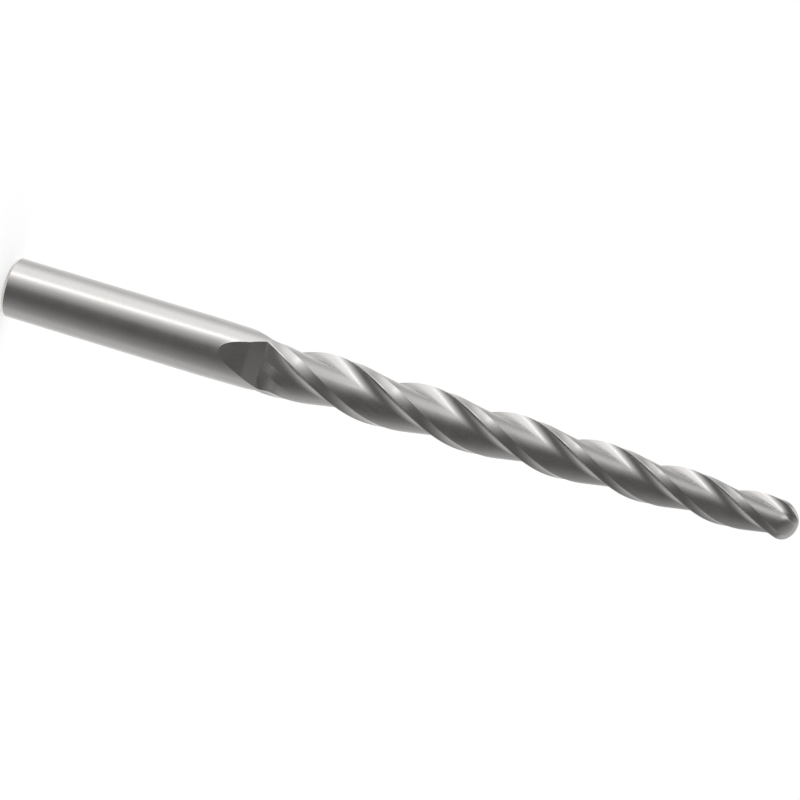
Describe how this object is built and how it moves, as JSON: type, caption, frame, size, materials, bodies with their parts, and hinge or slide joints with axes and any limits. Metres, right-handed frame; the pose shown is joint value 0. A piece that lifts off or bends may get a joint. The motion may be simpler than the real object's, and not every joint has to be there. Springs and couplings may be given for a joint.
{
  "type": "tapered ball nose end mill",
  "caption": "Ground carbide end mill with a plain round shank, helical flutes on a slow taper and a ball nose, for milling draft angles and rounded floors.",
  "frame": {"origin": "centre of the flat end of the shank", "axes": "+Z along the axis from the shank towards the ball end"},
  "size_m": [0.006, 0.006, 0.08],
  "materials": {
    "carbide": "bright fine-ground carbide with faint grinding lines"
  },
  "bodies": {
    "root": {"end_mill": "carbide"}
  },
  "joints": []
}
